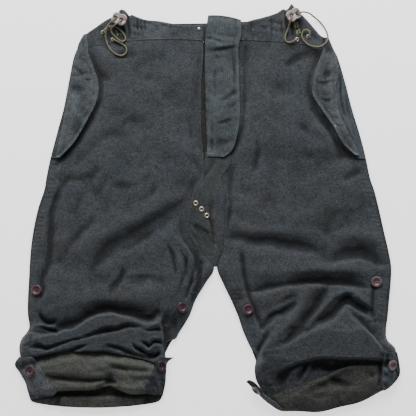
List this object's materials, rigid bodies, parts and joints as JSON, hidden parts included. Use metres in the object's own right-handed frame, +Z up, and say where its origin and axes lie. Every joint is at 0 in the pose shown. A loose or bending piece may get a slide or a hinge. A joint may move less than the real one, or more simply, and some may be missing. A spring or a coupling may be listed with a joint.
{
  "type": "trousers",
  "caption": "Wool trousers laid flat, legs rolled up and held by buttoned tabs, with a fly placket, curved pocket flaps, a crotch gusset with eyelets, and waist drawcords with locks",
  "frame": {"origin": "centre of the trousers' outline, on the surface that they lie on", "axes": "+X to the wearer's left (the picture's right), +Y towards the waist, +Z up from the surface, through the back and then the front of the trousers"},
  "size_m": [0.6552, 0.6924, 0.0342],
  "materials": {
    "wool": "matte",
    "smooth_cloth": "matte",
    "olive_wool": "matte",
    "gusset_cloth": "matte",
    "underlap_cloth": "matte",
    "button": "satin",
    "metal": "satin",
    "cord": "matte",
    "lock": "satin"
  },
  "bodies": {
    "root": {"right_back": "wool", "left_back": "wool", "back_waistband": "wool", "right_turnup_back": "olive_wool", "left_turnup_back": "olive_wool", "right_roll_core": "olive_wool", "left_roll_core": "olive_wool", "right_front": "wool", "left_front": "wool", "crotch_gusset": "gusset_cloth", "right_turnup_front": "olive_wool", "left_turnup_front": "olive_wool", "right_waistband": "wool", "left_waistband": "wool", "right_outer_seam": "wool", "right_inseam_band": "wool", "left_outer_seam": "wool", "left_inseam_band": "wool", "fly_underlap": "underlap_cloth", "fly_placket": "smooth_cloth", "belt_loop": "wool", "right_pocket_bag": "smooth_cloth", "left_pocket_bag": "smooth_cloth", "right_pocket_flap": "smooth_cloth", "left_pocket_flap": "smooth_cloth", "right_outer_tab": "smooth_cloth", "right_inner_tab": "smooth_cloth", "left_outer_tab": "smooth_cloth", "left_inner_tab": "smooth_cloth", "right_outer_button": "button", "right_inner_button": "button", "left_inner_button": "button", "left_outer_button": "button", "right_outer_tab_button": "button", "right_inner_tab_button": "button", "left_outer_tab_button": "button", "left_inner_tab_button": "button", "waist_stud": "metal", "right_waist_eyelet_low": "metal", "right_waist_eyelet_high": "metal", "left_waist_eyelet_low": "metal", "left_waist_eyelet_high": "metal", "crotch_eyelet_one": "metal", "crotch_eyelet_two": "metal", "crotch_eyelet_three": "metal", "right_cord_lock": "lock", "left_cord_lock": "lock", "right_drawcord": "cord", "left_drawcord": "cord"}
  },
  "joints": []
}
